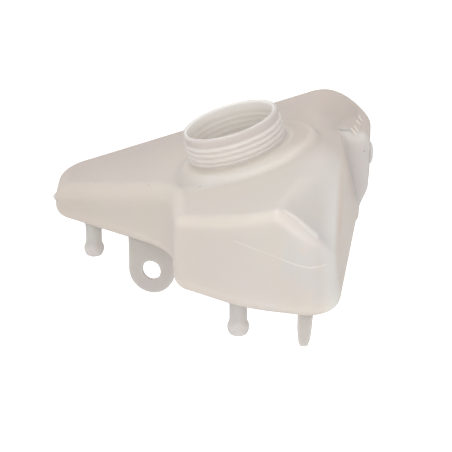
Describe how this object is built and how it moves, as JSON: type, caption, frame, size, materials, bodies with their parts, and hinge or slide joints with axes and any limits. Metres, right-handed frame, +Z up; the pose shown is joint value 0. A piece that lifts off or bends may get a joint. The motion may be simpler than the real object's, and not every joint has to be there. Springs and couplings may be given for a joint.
{
  "type": "coolant expansion tank",
  "caption": "Hollow wedge-shaped coolant expansion tank with a leaning screw neck, hose spigots, a hanging lug and a locating peg.",
  "frame": {"origin": "middle of the hole in the hanging lug, half way through the lug's thickness", "axes": "+X to the right along the straight rear wall, seen from the front; +Y from the front face to the rear wall; +Z up from the flat floor to the neck"},
  "size_m": [0.1961, 0.2069, 0.118],
  "materials": {
    "natural_plastic": "satin, natural milky polypropylene"
  },
  "bodies": {
    "root": {"tank": "natural_plastic"}
  },
  "joints": []
}
